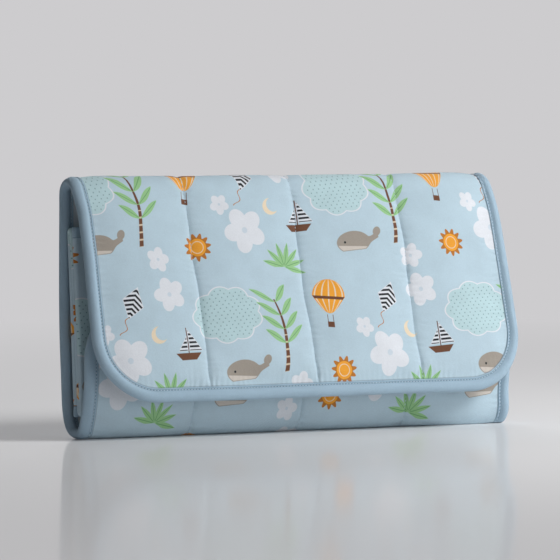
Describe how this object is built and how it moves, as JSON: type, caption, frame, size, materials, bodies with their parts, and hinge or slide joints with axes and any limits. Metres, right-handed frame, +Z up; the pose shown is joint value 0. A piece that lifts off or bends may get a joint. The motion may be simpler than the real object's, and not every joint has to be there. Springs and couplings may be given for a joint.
{
  "type": "folded travel changing pad",
  "caption": "Quilted, bias-bound fabric cover folded upright round a folded changing mat, with a rounded flap hanging over a short front panel.",
  "frame": {"origin": "centre of the flat strip along the bottom fold that the folded pad stands on", "axes": "+X along the width towards the side where the mat's edges are bound, -Y towards the front with the flap, +Z up"},
  "size_m": [0.36, 0.0657, 0.188],
  "materials": {
    "printed_fabric": "pale blue cotton with an all-over print",
    "binding": "plain woven bias tape, mid blue",
    "lining": "plain pale lining",
    "wadding": "white polyester wadding",
    "closure_tape": "white hook and loop tape",
    "foam": "thin pale foam sheet",
    "coated_face": "smooth wipe-clean coated cloth"
  },
  "bodies": {
    "back": {"back_outer_fabric": "printed_fabric", "back_wadding": "wadding", "back_lining": "lining", "back_binding_left": "binding", "back_binding_right": "binding", "top_fold_outer_fabric": "printed_fabric", "top_fold_wadding": "wadding", "top_fold_lining": "lining", "top_fold_binding_left": "binding", "top_fold_binding_right": "binding", "bottom_fold_outer_fabric": "printed_fabric", "bottom_fold_wadding": "wadding", "bottom_fold_lining": "lining", "bottom_fold_binding_left": "binding", "bottom_fold_binding_right": "binding"},
    "flap": {"flap_outer_fabric": "printed_fabric", "flap_wadding": "wadding", "flap_lining": "lining", "flap_binding": "binding", "hook_tape": "closure_tape"},
    "front": {"front_outer_fabric": "printed_fabric", "front_wadding": "wadding", "front_lining": "lining", "front_binding": "binding", "loop_tape": "closure_tape"},
    "mat": {"mat_cover": "printed_fabric", "mat_foam": "foam", "mat_face": "coated_face", "mat_binding": "binding"}
  },
  "joints": [
    {"name": "flap_fold", "type": "hinge", "parent": "back", "child": "flap", "pos_m": [0, 0.01245, 0.18748], "axis": [-1, 0, 0], "range_deg": [0, 163.4], "deforming": ["top_fold_outer_fabric", "top_fold_wadding", "top_fold_lining", "top_fold_binding_left", "top_fold_binding_right"]},
    {"name": "front_fold", "type": "hinge", "parent": "back", "child": "front", "pos_m": [0, 0.00282, -0.00737], "axis": [1, 0, 0], "range_deg": [0, 175.5], "deforming": ["bottom_fold_outer_fabric", "bottom_fold_wadding", "bottom_fold_lining", "bottom_fold_binding_left", "bottom_fold_binding_right"]},
    {"name": "mat_slide", "type": "slide", "parent": "back", "child": "mat", "axis": [-1, 0, 0], "range_m": [0, 0.37]}
  ],
  "couplings": [
    {"joint": "front_fold", "follows": "flap_fold", "ratio": 1.074}
  ]
}
